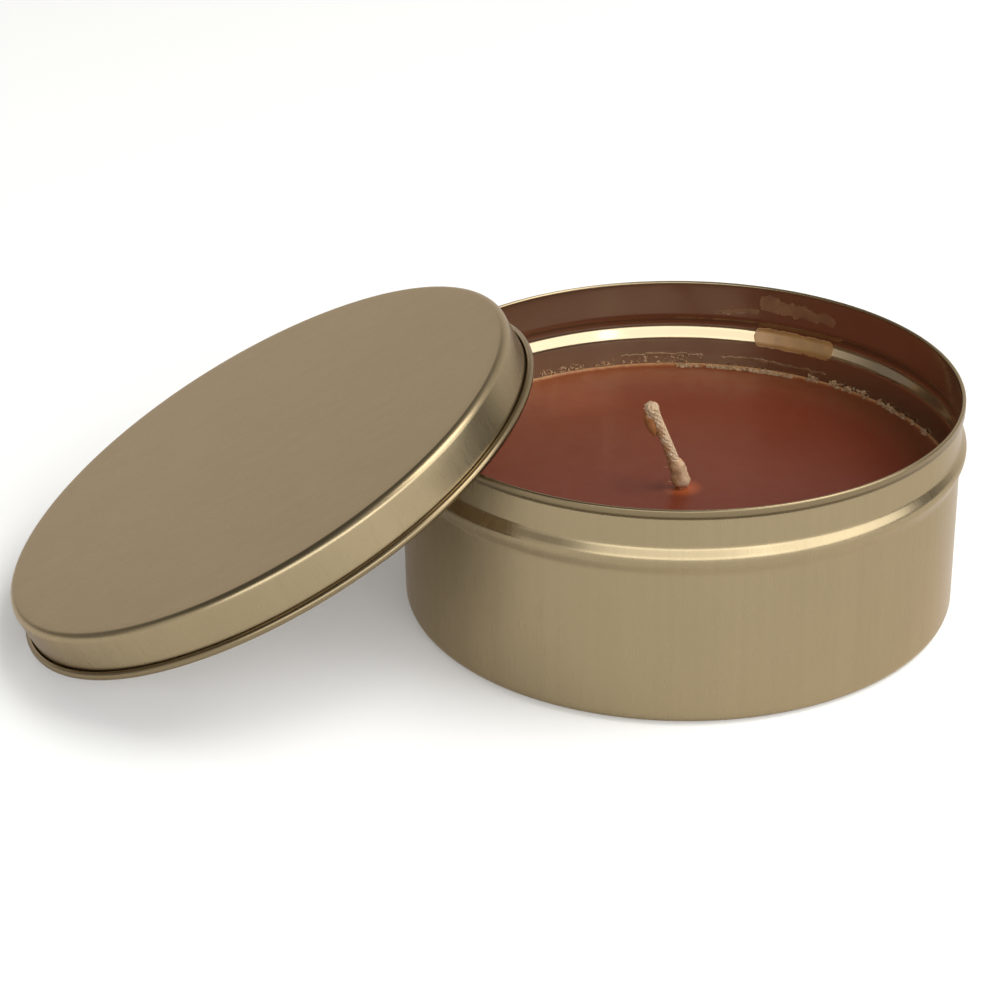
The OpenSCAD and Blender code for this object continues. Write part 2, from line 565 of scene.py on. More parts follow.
def spun(outline, swell, finish):
    """A closed mesh spun from an outline of (radius, height) points."""
    source = bpy.data.meshes.new("outline")
    source.from_pydata([(r, 0, z) for r, z in outline], chain(len(outline)), [])
    lengths = np.r_[0, np.cumsum(np.linalg.norm(np.diff(outline, axis=0), axis=1))]
    run = source.attributes.new("run", "FLOAT", "POINT")
    run.data.foreach_set("value", lengths.astype(np.float32))
    values = {"Segments": ROUND_STEPS, "Swell": swell, "Swell Scale": SWELL_SCALE, "Finish": finish}
    mesh = baked_mesh(source, SPIN, values)
    volume = face_outwards(mesh)
    print(len(mesh.polygons), "faces,", round(volume * 1e6, 2), "cubic centimetres")
    return mesh


def piece(name, mesh, body, slot, *nodes):
    """Put a finished mesh in the scene as a piece that rides on a body."""
    mesh.name = name
    made = bpy.data.objects.new(name, mesh)
    scene.collection.objects.link(made)
    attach(made, body)
    if nodes:
        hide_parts(*nodes)


# %% [markdown]
# ## Gold-lacquered tinplate
#
# The sheet is tin-plated steel under a thin gold lacquer. Four things make it look real:
# a dull gold that is a little uneven, rolling marks that run up the walls and straight
# across the flat panel, a glossier inside with a faint haze of wax, and small worn specks
# along the folded edges.
# The wall reads its pattern from the unrolled surface, and the panel from straight
# coordinates turned into the plane of the lid.

# %% Material helpers
NOISE_RANGE = (0.3, 0.7)


def new_material(name):
    """An empty material, its node helper, its Principled shader and its coordinates."""
    material = bpy.data.materials.new(name)
    material.use_nodes = True
    n = Nodes(material.node_tree)
    shader = material.node_tree.nodes["Principled BSDF"]
    return material, n, shader, n.add("TexCoord").outputs["Object"]


def mixed(n, factor, first, second):
    """A colour mix of two colours or sockets."""
    node = n.add("Mix", data_type="RGBA")
    n.feed(node, 0, factor)
    n.feed(node, 6, first)
    n.feed(node, 7, second)
    return node.outputs[2]


def blended(n, factor, first, second):
    """A number between two numbers or sockets."""
    node = n.add("Mix", factor, data_type="FLOAT")
    n.feed(node, 2, first)
    n.feed(node, 3, second)
    return node.outputs[0]


def scaled(n, source, scale, turn=(0, 0, 0)):
    """A mapping of coordinates."""
    node = n.add("Mapping", source)
    n.feed(node, "Scale", scale)
    n.feed(node, "Rotation", turn)
    return node


def noise(n, source, scale, detail=2.0, rough=0.5):
    """The value of a noise texture, from 0 to 1."""
    node = n.add("TexNoise", source)
    n.feed(node, "Scale", scale)
    n.feed(node, "Detail", detail)
    n.feed(node, "Roughness", rough)
    return node.outputs[0]


def spread(n, source, low=0.0, high=1.0):
    """Noise, whose values crowd near a half, spread from low to high."""
    return ranged(n, source, *NOISE_RANGE, low, high)


def paint(n, shader, colour, rough, height, strength, distance):
    """Give a shader its colour, its roughness and a bump from a height of 0 to 1."""
    n.feed(shader, "Base Color", colour)
    n.feed(shader, "Roughness", rough)
    bump = n.add("Bump")
    n.feed(bump, "Strength", strength)
    n.feed(bump, "Distance", distance)
    n.feed(bump, "Height", height)
    n.feed(shader, "Normal", bump)


def scatter(n, shader, weight, colour, reach):
    """Let light spread inside a shader, up to a reach in millimetres."""
    n.feed(shader, "Subsurface Weight", weight)
    n.feed(shader, "Subsurface Radius", colour)
    n.feed(shader, "Subsurface Scale", reach * MM)


def shade(colour, share):
    """A colour made lighter or darker, with its alpha."""
    return tuple(min(1.0, c * share) for c in colour) + (1,)


# %% Tinplate
GOLD = (0.300, 0.235, 0.140)
INSIDE_GOLD = (0.340, 0.245, 0.140)
FOLD_GOLD = (0.185, 0.140, 0.080)
WORN = (0.13, 0.10, 0.07)
EDGE_TINT = (0.88, 0.80, 0.73, 1)
INSIDE_METAL = 0.91
SATIN = (0.27, 0.30)
GLOSSY = (0.10, 0.14)
WEAR = 0.18
INSIDE_FADE = 0.5 * MM
FOLD_FADE = 0.15 * MM
BODY_FLAT = 40 * MM


def outline_length(outline):
    """The length of an outline."""
    return float(np.linalg.norm(np.diff(outline, axis=0), axis=1).sum())


def between(n, value, start, end, fade):
    """1 where value lies between start and end, and 0 outside, with soft ends."""
    after = ranged(n, value, start, start + fade)
    before = ranged(n, value, end - fade, end, 1.0, 0.0)
    return n.times(after, before)


def tinplate(name, whole, flat_run, inside, fold, tilt):
    """Lacquered sheet. The panel ends at flat_run; inside and fold are runs of the whole outline."""
    material, n, shader, place = new_material(name)
    surface = n.add("UVMap", uv_map="surface")
    unrolled = n.parts(surface)
    run = unrolled["Y"]
    folded = n.math("MINIMUM", run, n.minus(whole, run))
    on_wall = ranged(n, folded, flat_run, flat_run + 1.5 * MM)
    within = between(n, run, *inside, INSIDE_FADE)
    on_fold = between(n, run, *fold, FOLD_FADE)
    round_place = n.xyz(unrolled["X"], folded)

    level = scaled(n, place, (1, 1, 1), (0, tilt, 0))
    grain = noise(n, scaled(n, level, (380.0, 1900.0, 1900.0)), 1.0, 3.0, 0.6)
    streaks = noise(n, scaled(n, round_place, (1000.0, 170.0, 1.0)), 1.0, 2.0, 0.5)
    mottle = noise(n, scaled(n, level, (150.0, 420.0, 420.0)), 1.0, 2.0)
    bands = noise(n, scaled(n, round_place, (150.0, 12.0, 1.0)), 1.0, 2.0)
    fine = blended(n, on_wall, grain, streaks)
    broad = blended(n, on_wall, mottle, bands)
    clouds = noise(n, place, 60.0, 3.0)

    tone = n.plus(n.times(broad, 0.6), n.times(clouds, 0.4))
    clean = mixed(n, spread(n, tone), shade(GOLD, 0.96), shade(GOLD, 1.03))
    clean = mixed(n, n.times(on_fold, 0.8), clean, (*FOLD_GOLD, 1))
    clean = mixed(n, within, clean, shade(INSIDE_GOLD, 1))
    from_fold = n.minus(whole / 2, folded)
    near_fold = ranged(n, from_fold, 1.5 * MM, 4.5 * MM, 1.0, 0.0)
    specks = ranged(n, noise(n, place, 1100.0, 4.0, 0.65), 0.64, 0.72)
    wear = n.times(n.times(near_fold, specks), WEAR)
    n.feed(shader, "Metallic", blended(n, within, 1.0, INSIDE_METAL))
    gloss = blended(n, within, spread(n, fine, *SATIN), spread(n, clouds, *GLOSSY))
    n.feed(shader, "Specular Tint", EDGE_TINT)
    n.feed(shader, "Coat Weight", within)
    n.feed(shader, "Coat Roughness", 0.2)
    colour = mixed(n, wear, clean, (*WORN, 1))
    paint(n, shader, colour, n.plus(gloss, n.times(wear, 0.3)), fine, 0.02, 0.01 * MM)
    return material


body_whole = outline_length(body_outline)
lid_whole = outline_length(lid_outline)
hem_run = math.pi * fold_r + HEM_HEIGHT
curl_run = math.radians(CURL_TURN) * CURL_RADIUS
body_inside = (body_whole / 2 + hem_run, body_whole + 1)
body_hem = (body_whole / 2, body_whole / 2 + HEM_HEIGHT)
lid_inside = (-1, lid_whole / 2 - curl_run)
lid_curl = (lid_whole / 2 - 0.75 * curl_run, lid_whole / 2)
body_metal = tinplate("gold_tinplate", body_whole, BODY_FLAT, body_inside, body_hem, 0)
lid_flat = skirt_r - LID_CORNER
lid_metal = tinplate("gold_lid_tinplate", lid_whole, lid_flat, lid_inside, lid_curl, lean_angle)
print("outline lengths", round(body_whole / MM, 1), "and", round(lid_whole / MM, 1), "mm")

# %% [markdown]
# ## The body and the lid
#
# Both are one drawn sheet each, so both are spun from their outlines in one go, hem and
# curl included. The lid is spun level and then leaned into its resting place by moving
# its points, which leaves its object unturned.

# %% Spin the tin body and the lid
body_mesh = spun(body_outline, SWELL, body_metal)
piece("tin_shell", body_mesh, "tin", "tinplate", "tin_body")

lid_mesh = spun(lid_outline, SWELL, lid_metal)
lid_mesh.transform(lid_place)
piece("lid_shell", lid_mesh, "lid", "lid_tinplate", "lid")

# %% [markdown]
# ## The wax
#
# Poured wax wets the tin, so its edge climbs the wall in a small meniscus, and that thin
# edge is paler. Round the foot of the wick, and at one place near the back, a brighter
# orange is painted on as a glow of light. The outline is spun like the tin's.
# The colour needs light inside the wax, so the shader lets it scatter.

# %% Wax material
WAX_DARK = (0.134, 0.027, 0.012, 1)
WAX_LIGHT = (0.152, 0.032, 0.015, 1)
WAX_EDGE = (0.205, 0.060, 0.022, 1)
WAX_THIN = (0.42, 0.19, 0.08, 1)
# Painted glow: a bright orange that stands in for light, round the wick foot and at one spot at the
# back.
WAX_PAINTED_GLOW = (0.42, 0.10, 0.03, 1)
PAINTED_GLOW_REACH = 3.6 * MM
# Painted light: the place and reach of a faint warm patch near the back of the wax.
PAINTED_LIGHT_SPOT = (-14 * MM, 32 * MM, WAX_LEVEL)
PAINTED_LIGHT_SPOT_REACH = 9.0 * MM


def wax_material():
    """Poured coloured wax, paler where it is thin, with a painted glow round the wick and at the
    back.
    """
    material, n, shader, place = new_material("terracotta_wax")
    height = n.parts(place)["Z"]
    clouds = spread(n, noise(n, place, 28.0, 3.0))
    base = mixed(n, clouds, WAX_DARK, WAX_LIGHT)
    flat = n.vector("MULTIPLY", place, (1, 1, 0))
    radius = n.measure("LENGTH", flat)
    base = mixed(n, ranged(n, radius, 0.80 * inner_r, 0.99 * inner_r, 0.0, 0.9), base, WAX_EDGE)
    ragged = n.times(noise(n, place, 900.0, 3.0), 0.35 * MM)
    thin = ranged(n, n.minus(height, ragged), WAX_LEVEL, WAX_LEVEL + 0.3 * MM)
    base = mixed(n, thin, base, WAX_THIN)
    # Painted glow: a brighter orange pooled round the foot of the wick.
    foot = (0, -WICK_OFFSET, WAX_LEVEL)
    out = n.measure("DISTANCE", place, foot)
    glow = ranged(n, out, 0.6 * MM, PAINTED_GLOW_REACH, 0.8, 0.0)
    base = mixed(n, glow, base, WAX_PAINTED_GLOW)
    # Painted light: a faint warm patch at one place near the back of the wax.
    off = n.measure("DISTANCE", place, PAINTED_LIGHT_SPOT)
    base = mixed(n, ranged(n, off, 0.0, PAINTED_LIGHT_SPOT_REACH, 0.16, 0.0), base, WAX_PAINTED_GLOW)
    scatter(n, shader, 0.3, (1.0, 0.3, 0.15), 2.0)
    n.feed(shader, "Specular IOR Level", 0.09)
    rough = spread(n, noise(n, place, 400.0, 3.0), 0.28, 0.38)
    paint(n, shader, base, rough, noise(n, place, 260.0, 2.0), 0.15, 0.04 * MM)
    return material


wax_colour = wax_material()

# %% Wax shape
WAX_SKIN = 0.02 * MM
MENISCUS = 0.6 * MM
WAX_RINGS = 110


def wax_outline():
    """The outline of the wax: under side, side, meniscus and top, back to the axis."""
    path = divided(body_path())
    inside = np.array(path) - sides(path) * (SHEET / 2 + WAX_SKIN)
    lower = [tuple(p) for p in inside if p[1] < WAX_LEVEL - 1 * MM]
    wax_r = inner_r - WAX_SKIN
    radii = wax_r - wax_r * np.linspace(0, 1, WAX_RINGS + 1) ** 2
    radii[-1] = 0
    rise = MENISCUS * np.exp(-(wax_r - radii) / (0.6 * MENISCUS))
    top = [(r, WAX_LEVEL + h) for r, h in zip(radii, rise)]
    return np.array(lower + top)


wax_mesh = spun(wax_outline(), 0.0, wax_colour)
piece("wax_pour", wax_mesh, "tin", "wax", "wax_fill")

# %% [markdown]
# ## The plaited wick
#
# A cotton wick is a round plait. Half of its strands wind one way and half the other,
# and each passes over and under the ones that it meets. One tree does this along any
# line: it copies the line once for each strand, winds every copy round the line, lets
# its distance from the line rise and fall at each crossing, and sweeps a thread along
# it. The line itself is given, with the half width that the wick has there.

# %% The line of the wick
WICK_LINE = [
    (0.2, -18.6, 1.00),
    (0.2, -8.0, 1.00),
    (0.2, -2.0, 0.95),
    (0.0, 0.0, 0.80),
    (-0.25, 1.6, 1.15),
    (-0.85, 3.6, 1.15),
    (-1.45, 5.0, 1.02),
    (-2.3, 7.4, 0.92),
    (-3.45, 10.4, 0.88),
    (-4.2, 12.4, 0.84),
    (-4.6, 13.3, 0.95),
    (-5.0, 14.1, 1.22),
    (-5.15, 14.8, 1.02),
    (-5.15, 15.2, 0.40),
]


def smooth_rows(rows, steps):
    """Rows of numbers, with a smooth curve passed through them."""
    rows = np.array(rows, float)
    ends = np.vstack([2 * rows[0] - rows[1], rows, 2 * rows[-1] - rows[-2]])
    t = np.linspace(0, 1, steps, endpoint=False)[:, None]
    result = []
    for before, start, end, after in zip(ends, ends[1:], ends[2:], ends[3:]):
        middle = 2 * before - 5 * start + 4 * end - after
        last = 3 * (start - end) + after - before
        result.append(start + 0.5 * (t * (end - before) + t**2 * middle + t**3 * last))
    return np.vstack(result + [rows[-1:]])


wick_rows = smooth_rows([(x * MM, z * MM, half * MM) for x, z, half in WICK_LINE], 16)
wick_line = bpy.data.meshes.new("wick line")
wick_points = [(x, -WICK_OFFSET, WAX_LEVEL + z) for x, z, half in wick_rows]
wick_line.from_pydata(wick_points, chain(len(wick_rows)), [])
half_width = wick_line.attributes.new("half_width", "FLOAT", "POINT")
half_width.data.foreach_set("value", wick_rows[:, 2].astype(np.float32))
print("wick line of", len(wick_rows), "points")

# %% The plaiting tree
DEPTH_LINE = (0.0, 1.0, 0.0)
STRAND_REACH = 0.70
WEAVE_DEPTH = 0.045
CORE_SHARE = 0.87


def plait_tree():
    """The tree that plaits strands along a line."""
    floats = ["Turns", "Strand Share"]
    counts = ["Strands Each Way", "Steps"]
    n, given = geometry_tree("Plait along a line", "Line", Int=counts, Float=floats)
    line = n.add("MeshToCurve", given["Line"])
    fine = n.add("ResampleCurve", line, None, given["Steps"])
    strands = n.times(given["Strands Each Way"], 2.0)
    copies = n.add("DuplicateElements", fine, None, strands, domain="SPLINE")
    number = copies.outputs["Duplicate Index"]
    width = n.add("InputNamedAttribute", "half_width", data_type="FLOAT").outputs[0]
    along = n.add("SplineParameter").outputs["Factor"]

    odd = n.math("MODULO", number, 2.0)
    way = n.minus(1.0, n.times(odd, 2.0))
    start = n.over(n.times(n.minus(number, odd), math.pi), given["Strands Each Way"])
    turned = n.times(n.times(along, 2 * math.pi), given["Turns"])
    angle = n.plus(start, n.times(turned, way))
    weave = n.times(n.math("COSINE", n.times(turned, given["Strands Each Way"])), way)
    share = n.plus(STRAND_REACH, n.times(weave, WEAVE_DEPTH))
    reach = n.times(width, share)

    tangent = n.add("InputTangent")
    across = n.vector("CROSS_PRODUCT", tangent, DEPTH_LINE)
    across = n.vector("NORMALIZE", across)
    deep = n.vector("CROSS_PRODUCT", tangent, across)
    sideways = n.stretched(across, n.times(n.math("COSINE", angle), reach))
    backwards = n.stretched(deep, n.times(n.math("SINE", angle), reach))
    offset = n.vector("ADD", sideways, backwards)
    wound = n.add("SetPosition", copies.outputs["Geometry"], None, None, offset)
    marked = n.add("StoreNamedAttribute", wound, None, "side", n.math("COSINE", angle))
    thread = n.add("CurvePrimitiveCircle", 8)
    n.feed(thread, "Radius", 1.0)
    strand_size = n.times(width, given["Strand Share"])
    threads = n.add("CurveToMesh", marked, thread, strand_size, True)
    core_size = n.times(width, CORE_SHARE)
    core_line = n.add("StoreNamedAttribute", fine, None, "side", 0.0)
    core = n.add("CurveToMesh", core_line, thread, core_size, True)
    joined = n.add("JoinGeometry")
    n.feed(joined, 0, threads)
    n.feed(joined, 0, core)
    smooth = n.add("SetShadeSmooth", joined)
    return finished(n, smooth, given["Finish"])


PLAIT = plait_tree()

# %% Waxed cotton
COTTON = (0.43, 0.27, 0.15)
COTTON_PALE = (0.52, 0.37, 0.24)
SOAKED = (0.30, 0.13, 0.045, 1)


def cotton_material():
    """Cotton stiff with wax: cream, orange where wax soaked in on the left, a painted glow at the
    foot.
    """
    material, n, shader, place = new_material("waxed_cotton")
    height = n.parts(place)["Z"]
    side = n.add("Attribute", attribute_name="side").outputs["Fac"]
    fibres = noise(n, scaled(n, place, (5000.0, 5000.0, 1200.0)), 1.0, 3.0, 0.65)
    clean = mixed(n, spread(n, fibres), shade(COTTON, 0.9), shade(COTTON_PALE, 1.0))
    patches = n.plus(noise(n, place, 420.0, 2.0), n.times(side, 0.22))
    soaked = ranged(n, patches, 0.56, 0.72, 0.0, 0.85)
    tip = ranged(n, height, WAX_LEVEL + 13.0 * MM, WAX_LEVEL + 13.8 * MM, 1.0, 0.0)
    base = mixed(n, n.times(soaked, tip), clean, SOAKED)
    # Painted glow: the foot of the wick, where it meets the wax, is painted bright orange.
    foot = ranged(n, height, WAX_LEVEL + 0.1 * MM, WAX_LEVEL + 1.1 * MM, 0.85, 0.0)
    scatter(n, shader, 0.25, (1.0, 0.6, 0.3), 0.5)
    colour = mixed(n, foot, base, WAX_PAINTED_GLOW)
    paint(n, shader, colour, spread(n, fibres, 0.45, 0.65), fibres, 0.6, 0.06 * MM)
    return material


cotton = cotton_material()

# %% Plait the wick
wick_values = {"Strands Each Way": 7, "Turns": 4.2, "Strand Share": 0.27, "Steps": 210}
wick_values["Finish"] = cotton
wick_mesh = baked_mesh(wick_line, PLAIT, wick_values)
face_outwards(wick_mesh)
print("wick:", len(wick_mesh.polygons), "faces")
piece("wick_plait", wick_mesh, "tin", "cotton", "wick")

# %% [markdown]
# ## Wax on the wick
#
# A used wick holds lumps of set wax: a swollen sleeve at its foot, a clear orange drop
# that hangs below its head, and a hair or two that has come loose. These are forms given
# one by one, not repeats, so each is lofted from a few rows of centre, width and depth, and
# then roughened along its normals.

# %% Loft a lump


def lump(name, rows, sides_round, rough, rough_scale, finish, slot="wax"):
    """A closed piece along rows of (x, z, half width, half depth) in millimetres at the wick."""
    rings = smooth_rows(rows, 6) * MM
    turns = np.linspace(0, 2 * math.pi, sides_round, endpoint=False)
    line = rings[:, :2]
    steps = np.gradient(line, axis=0)
    steps /= np.linalg.norm(steps, axis=1)[:, None]
    points = []
    for (x, z), (along_x, along_z), (wide, deep) in zip(line, steps, rings[:, 2:]):
        for a in turns:
            out, y = wide * math.cos(a), deep * math.sin(a) - WICK_OFFSET
            points.append((x + out * along_z, y, WAX_LEVEL + z - out * along_x))
    mesh = closed_mesh(name, points, sides_round, finish)
    normals = [v.normal.copy() for v in mesh.vertices]
    for vertex, normal in zip(mesh.vertices, normals):
        lift = fractal(vertex.co * rough_scale, 0.9, 2.0, 3) * rough
        vertex.co += normal * lift
    print(name, len(mesh.polygons), "faces")
    piece(name, mesh, "tin", slot)


# %% Clear wax
DROP = (0.27, 0.115, 0.040)


def drop_material():
    """A drop of clear orange wax."""
    material, n, shader, place = new_material("wax_drop")
    clouds = spread(n, noise(n, place, 900.0, 2.0))
    scatter(n, shader, 0.6, (1.0, 0.5, 0.15), 1.0)
    colour = mixed(n, clouds, shade(DROP, 0.85), shade(DROP, 1.15))
    rough = spread(n, noise(n, place, 2500.0, 2.0), 0.25, 0.4)
    paint(n, shader, colour, rough, clouds, 0.3, 0.05 * MM)
    return material


def sleeve_material():
    """Pale wax over cotton, more orange on the left, with a painted glow at the foot."""
    material, n, shader, place = new_material("wax_sleeve")
    parts = n.parts(place)
    left = ranged(n, parts["X"], -1.9 * MM, 0.6 * MM, 0.35, -0.15)
    patches = ranged(n, n.plus(noise(n, place, 700.0, 3.0), left), 0.50, 0.78, 0.0, 0.8)
    grain = noise(n, place, 3200.0, 3.0, 0.6)
    pale = mixed(n, spread(n, grain), shade(COTTON, 0.92), shade(COTTON_PALE, 0.98))
    base = mixed(n, patches, pale, (0.40, 0.20, 0.08, 1))
    # Painted glow: the foot of the sleeve, where it meets the wax, is painted bright orange.
    foot = ranged(n, parts["Z"], WAX_LEVEL, WAX_LEVEL + 0.9 * MM, 0.85, 0.0)
    scatter(n, shader, 0.4, (1.0, 0.6, 0.3), 0.6)
    colour = mixed(n, foot, base, WAX_PAINTED_GLOW)
    paint(n, shader, colour, spread(n, grain, 0.4, 0.6), grain, 0.5, 0.08 * MM)
    return material


clear_wax = drop_material()
pale_wax = sleeve_material()

# %% Sleeve, drop and loose hair
SLEEVE = [
    (0.0, -0.5, 0.5, 0.5),
    (0.0, 0.1, 0.72, 0.7),
    (0.0, 0.5, 1.15, 1.0),
    (-0.1, 0.95, 1.46, 1.25),
    (-0.25, 1.6, 1.40, 1.3),
    (-0.5, 2.7, 1.34, 1.27),
    (-0.75, 3.6, 1.30, 1.24),
    (-1.1, 4.4, 1.20, 1.1),
    (-1.5, 5.1, 0.85, 0.85),
]
HANGING_DROP = [
    (-4.25, 9.3, 0.12, 0.12),
    (-4.5, 9.9, 0.50, 0.55),
    (-4.9, 10.9, 0.84, 0.80),
    (-5.25, 12.0, 0.92, 0.85),
    (-5.45, 12.9, 0.85, 0.8),
    (-5.45, 13.8, 0.45, 0.4),
]
HAIRS = {
    "loose_hair": [(-1.6, 3.5, 0.09, 0.09), (-2.3, 3.75, 0.07, 0.07), (-3.05, 3.8, 0.02, 0.02)],
    "short_hair": [(-1.4, 1.3, 0.10, 0.10), (-1.9, 1.15, 0.07, 0.07), (-2.25, 1.3, 0.02, 0.02)],
}

lump("wick_wax_sleeve", SLEEVE, 36, 0.22 * MM, 750.0, pale_wax)
lump("wick_wax_drop", HANGING_DROP, 24, 0.07 * MM, 500.0, clear_wax)
for name, rows in HAIRS.items():
    lump(name, rows, 8, 0.01 * MM, 3000.0, cotton, "cotton")

# %% [markdown]
# ## Cut fibres at the tip of the wick
#
# Where the plait was cut, its fibres stand up like a tiny brush. They repeat, so a tree
# scatters them: each is a thin cone with a random place, lean and length.

# %% The fibre tree


def random_value(n, seed, low, high):
    """A random number for each point."""
    node = n.add("RandomValue", data_type="FLOAT")
    n.feed(node, 2, low)
    n.feed(node, 3, high)
    n.feed(node, 8, seed)
    return node.outputs[1]


def fibre_tree():
    """The tree that stands fibres in a round patch."""
    floats = ["Radius", "Length", "Lean"]
    n, given = geometry_tree("Cut fibres", "Geometry", Int=["Count"], Vector=["Centre"], Float=floats)
    angle = random_value(n, 1, 0.0, 2 * math.pi)
    share = n.math("SQRT", random_value(n, 2, 0.0, 1.0))
    reach = n.times(share, given["Radius"])
    dome = n.times(n.times(share, share), n.times(given["Radius"], -0.75))
    x, y = n.times(reach, n.math("COSINE", angle)), n.times(reach, n.math("SINE", angle))
    spot = n.vector("ADD", n.xyz(x, y, dome), given["Centre"])
    points = n.add("Points", given["Count"], spot, 0.1 * MM)
    cone = n.add("MeshCone", 5)
    n.feed(cone, "Radius Top", 0.012 * MM)
    n.feed(cone, "Radius Bottom", 0.07 * MM)
    n.feed(cone, "Depth", given["Length"])
    lean = n.times(share, given["Lean"])
    jitter = random_value(n, 3, -0.35, 0.35)
    turn = n.xyz(jitter, n.plus(lean, jitter), angle)
    spin = n.add("EulerToRotation", turn)
    stood = n.add("InstanceOnPoints", points, None, cone)
    n.feed(stood, "Rotation", spin)
    n.feed(stood, "Scale", random_value(n, 4, 0.6, 1.3))
    return finished(n, stood, given["Finish"])


FIBRES = fibre_tree()

# %% Fibres on the tip
tip_x, tip_z, tip_half = WICK_LINE[-2]
fibre_values = {
    "Count": 110,
    "Centre": (tip_x * MM, -WICK_OFFSET, WAX_LEVEL + (tip_z + 0.25) * MM),
    "Radius": 0.95 * MM,
    "Length": 0.45 * MM,
    "Lean": 1.1,
    "Finish": cotton,
}
fibre_mesh = baked_mesh(bpy.data.meshes.new("start"), FIBRES, fibre_values)
face_outwards(fibre_mesh)
print("fibres:", len(fibre_mesh.polygons), "faces")
piece("wick_tip_fibres", fibre_mesh, "tin", "cotton")

# %% [markdown]
# ## Wax film on the inner wall
#
# Wax that splashed up the wall has set as a thin brown film with ragged edges. It dulls
# the bright line in the groove of the bead. Each film is a closed shell that follows the
# inner side of the wall, so it takes the bead's shape from the tin's own outline.

# %% The inner wall
inner_side = body_outline[len(body_outline) // 2 :]
wall_line = inner_side[np.argmax(inner_side[:, 1]) :][::-1]
wall_line = wall_line[wall_line[:, 1] > BASE_CORNER]


def inner_wall(z):
    """Radius of the inner side of the wall at height z."""
    return float(np.interp(z, wall_line[:, 1], wall_line[:, 0]))


def round_point(radius, angle, z):
    """A point at an angle in degrees, clockwise from the back of the tin."""
    turn = math.radians(angle)
    return (radius * math.sin(turn), radius * math.cos(turn), z)


print("inner wall from", round(wall_line[0, 1] / MM, 1), "to", round(wall_line[-1, 1] / MM, 1), "mm")

# %% Film materials
THIN_FILM = (0.34, 0.225, 0.115)
THICK_FILM = (0.31, 0.165, 0.052)


def film_material(name, colour, metal, gloss):
    """A brown film of wax. Where it is thin, the metal behind still shines through."""
    material, n, shader, place = new_material(name)
    clouds = spread(n, noise(n, place, 350.0, 3.0))
    n.feed(shader, "Metallic", metal)
    n.feed(shader, "Coat Weight", 0.6)
    n.feed(shader, "Coat Roughness", 0.3)
    uneven = mixed(n, clouds, shade(colour, 0.85), shade(colour, 1.15))
    rough = ranged(n, clouds, 0.0, 1.0, gloss, gloss + 0.1)
    paint(n, shader, uneven, rough, noise(n, place, 1500.0, 3.0), 0.15, 0.02 * MM)
    return material


thin_film = film_material("thin_wax_film", THIN_FILM, 0.78, 0.20)
thick_film = film_material("thick_wax_film", THICK_FILM, 0.35, 0.32)

# %% Make the films
FILM_STEP = 0.3
FILM_ROWS = 14
FILM_BACK = 0.003 * MM
FILM_BLUNT = 24
FILM_WANDER = 0.45


def film(name, angles, lows, highs, thick, ragged, seed, finish):
    """A thin closed shell on the inner wall. Angles are in degrees and heights in millimetres."""
    start, end = angles
    columns = max(8, round((end - start) / FILM_STEP))
    points = []
    for i in range(columns + 1):
        share = i / columns
        angle = start + (end - start) * share
        closing = 1 - abs(2 * share - 1) ** FILM_BLUNT
        low = lows[0] + (lows[1] - lows[0]) * share
        high = highs[0] + (highs[1] - highs[0]) * share
        turn = angle * FILM_WANDER
        below, above = (fractal(Vector((turn, seed + k, 0)), 0.7, 2.1, 4) * ragged for k in (0, 9.5))
        middle = (low + high) / 2
        bottom = (middle + (low + below - middle) * closing) * MM
        top = (middle + (high + above - middle) * closing) * MM
        front, back = [], []
        for j in range(FILM_ROWS + 1):
            z = bottom + (max(top, bottom + 0.05 * MM) - bottom) * j / FILM_ROWS
            lift = thick * (0.15 + 0.85 * math.sin(math.pi * j / FILM_ROWS))
            front.append(round_point(inner_wall(z) - lift * MM, angle, z))
            back.append(round_point(inner_wall(z) - FILM_BACK, angle, z))
        points += front + back[::-1]
    piece(name, closed_mesh(name, points, 2 * (FILM_ROWS + 1), finish), "tin", "wax")


FILMS = {
    "film_upper_right": ((25.6, 44.5), (31.6, 31.5), (35.4, 33.6), 0.015, 0.7, 1.0, thin_film),
    "film_upper_left": ((15.0, 25.7), (30.8, 31.4), (31.2, 32.4), 0.015, 0.6, 2.0, thin_film),
    "film_groove": ((24.4, 43.8), (25.3, 24.9), (28.5, 28.3), 0.02, 0.22, 3.0, thick_film),
    "film_line_left": ((-6.0, 12.9), (22.4, 22.5), (22.9, 22.8), 0.03, 0.35, 4.0, thin_film),
    "film_line_right": ((17.0, 42.5), (22.3, 22.2), (22.7, 22.7), 0.03, 0.4, 5.0, thin_film),
}
for name, sizes in FILMS.items():
    film(name, *sizes)
print("films:", ", ".join(FILMS))

# %% [markdown]
# ## Crumbs of wax along the wall
#
# Crumbs of dry wax cling in a ragged line above the wax, and thin flakes sit on its edge.
# There are hundreds, so a tree scatters them: random points on a stretch of the wall,
# thinned out in clumps, each with a small turned lump of twenty faces.

# %% The crumb tree
CLUMP_SCALE = 420.0
DENT_SCALE = 4000.0


